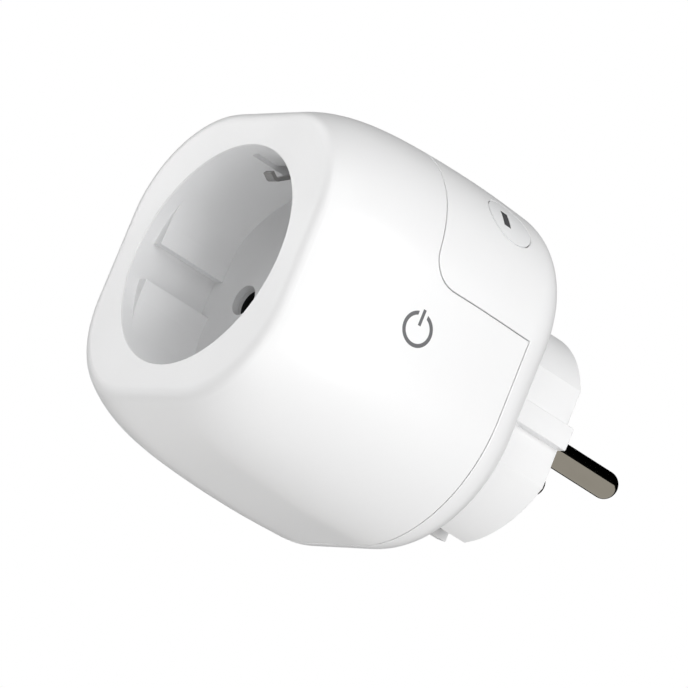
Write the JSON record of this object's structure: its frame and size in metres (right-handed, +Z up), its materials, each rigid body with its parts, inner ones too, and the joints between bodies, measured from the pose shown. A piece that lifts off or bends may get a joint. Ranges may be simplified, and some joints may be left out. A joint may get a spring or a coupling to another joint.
{
  "type": "smart plug",
  "caption": "Round-cornered white plug-through adapter with an earthed socket in front, an earthed plug behind and a round push button with a light window on one corner.",
  "frame": {"origin": "centre of the plug's engagement face, on the plane that the pins stand on", "axes": "+Y along the pins towards the wall, +Z up towards one earth clip, +X towards one pin; the socket faces -Y and the button is on the +X +Z corner"},
  "size_m": [0.061, 0.0848, 0.061],
  "materials": {
    "shell_plastic": "white satin-gloss moulded PC/ABS",
    "cup_plastic": "white satin moulded polycarbonate",
    "button_plastic": "white moulded ABS, flush with the shell",
    "window": "smoked polycarbonate light pipe",
    "pin_nickel": "nickel-plated brass, turned",
    "clip_nickel": "nickel-plated spring bronze strip",
    "contact_brass": "stamped brass",
    "earth_steel": "tinned steel strip",
    "board_green": "glass-epoxy board with green solder mask",
    "can_metal": "drawn metal can",
    "part_black": "black moulded epoxy",
    "capacitor_yellow": "yellow moulded case",
    "varistor_blue": "blue epoxy coating",
    "relay_blue": "blue moulded relay cover",
    "coil_copper": "enamelled copper winding on a nylon bobbin",
    "core_iron": "plated soft iron",
    "fuse_body": "lacquered fusible resistor",
    "led_white": "white surface LED",
    "screw_steel": "zinc-plated steel"
  },
  "bodies": {
    "housing": {"front_shell": "shell_plastic", "rear_shell": "shell_plastic", "socket_cup": "cup_plastic", "live_pin": "pin_nickel", "neutral_pin": "pin_nickel", "live_strap": "contact_brass", "neutral_strap": "contact_brass", "live_carrier": "part_black", "neutral_carrier": "part_black", "live_contact": "contact_brass", "neutral_contact": "contact_brass", "earth_frame": "earth_steel", "side_contact_top": "earth_steel", "side_contact_bottom": "earth_steel", "main_board": "board_green", "radio_board": "board_green", "radio_shield": "can_metal", "film_capacitor": "capacitor_yellow", "supply_capacitors": "can_metal", "transformer": "part_black", "varistor": "varistor_blue", "fuse": "fuse_body", "metering_chip": "part_black", "relay_base": "part_black", "relay_case": "relay_blue", "relay_coil": "coil_copper", "relay_core": "core_iron", "button_board": "board_green", "tact_switch": "part_black", "status_led": "led_white", "board_screws": "screw_steel", "housing_screws": "screw_steel"},
    "button": {"button_cap": "button_plastic", "light_pipe": "window"},
    "plunger": {"switch_plunger": "part_black"},
    "armature": {"relay_armature": "core_iron"},
    "top_clip": {"earth_clip_top": "clip_nickel"},
    "bottom_clip": {"earth_clip_bottom": "clip_nickel"}
  },
  "joints": [
    {"name": "button_press", "type": "slide", "parent": "housing", "child": "button", "axis": [-0.7071, 0, -0.7071], "range_m": [0, 0.0006], "stiffness_N_per_m": 1700, "springref_m": -0.0002},
    {"name": "switch_travel", "type": "slide", "parent": "housing", "child": "plunger", "axis": [-0.7071, 0, -0.7071], "range_m": [0, 0.0006]},
    {"name": "top_clip_flex", "type": "hinge", "parent": "housing", "child": "top_clip", "pos_m": [0, -0.04705, 0.0223], "axis": [-1, 0, 0], "range_deg": [0, 4], "stiffness_Nm_per_rad": 0.3},
    {"name": "bottom_clip_flex", "type": "hinge", "parent": "housing", "child": "bottom_clip", "pos_m": [0, -0.04705, -0.0223], "axis": [1, 0, 0], "range_deg": [0, 4], "stiffness_Nm_per_rad": 0.3},
    {"name": "armature_tilt", "type": "hinge", "parent": "housing", "child": "armature", "pos_m": [0.004, -0.02965, -0.01895], "axis": [0, 0, -1], "range_deg": [0, 3.5], "stiffness_Nm_per_rad": 0.02}
  ],
  "couplings": [
    {"joint": "switch_travel", "follows": "button_press", "ratio": 1}
  ]
}
